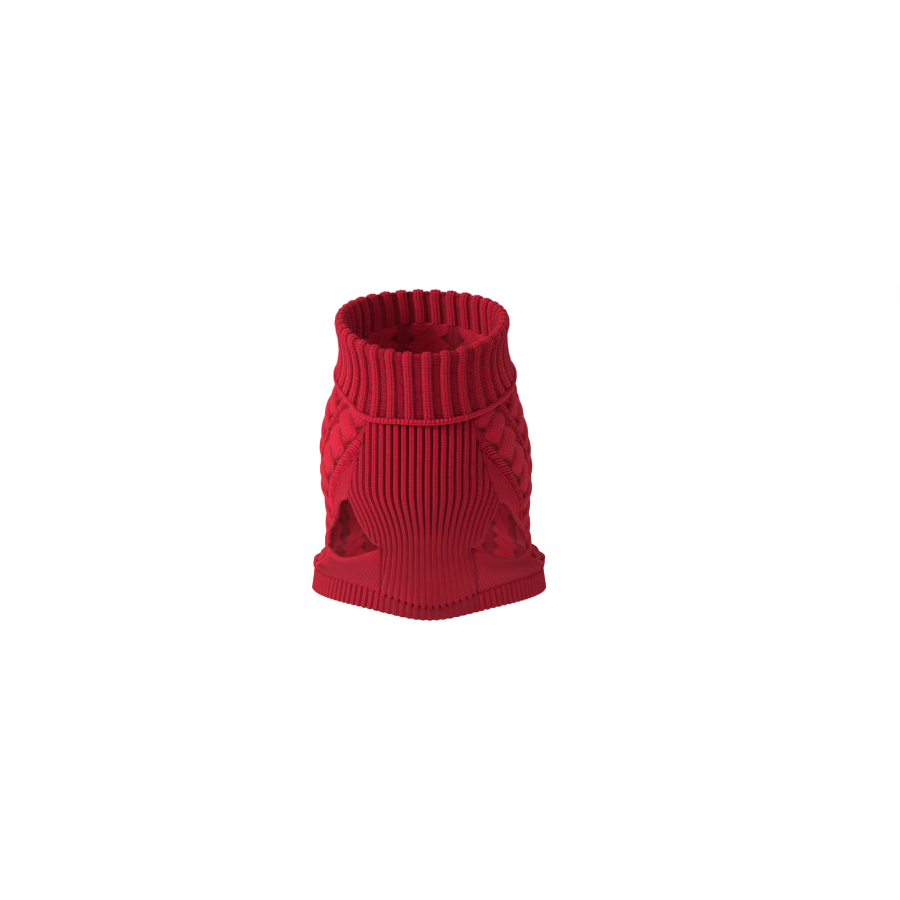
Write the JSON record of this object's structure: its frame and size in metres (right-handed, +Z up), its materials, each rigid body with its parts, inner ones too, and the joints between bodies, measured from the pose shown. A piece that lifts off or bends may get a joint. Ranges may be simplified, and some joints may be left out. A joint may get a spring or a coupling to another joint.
{
  "type": "dog sweater",
  "caption": "Sleeveless cable-knit dog sweater with a turned-down ribbed turtleneck, two leg holes and ribbed hem, held open as worn.",
  "frame": {"origin": "middle of the trunk hollow, level with the shoulders, where the wearer's chest fills the sweater", "axes": "+Z up; -Y out of the chest, towards the front of the wearer; +Y towards the rump; +X to the right as seen from the front"},
  "size_m": [0.26, 0.3688, 0.3503],
  "materials": {
    "collar_rib": "chunky 3x3 rib knit in red wool yarn",
    "chest_rib": "2x2 rib knit in red wool yarn",
    "back_cable": "rope cables and stocking stitch in red wool yarn",
    "hem_rib": "fine rib knit in red wool yarn"
  },
  "bodies": {
    "root": {"collar": "collar_rib", "chest_panel": "chest_rib", "back_panel": "back_cable", "belly_hem": "hem_rib", "back_hem": "hem_rib"}
  },
  "joints": []
}
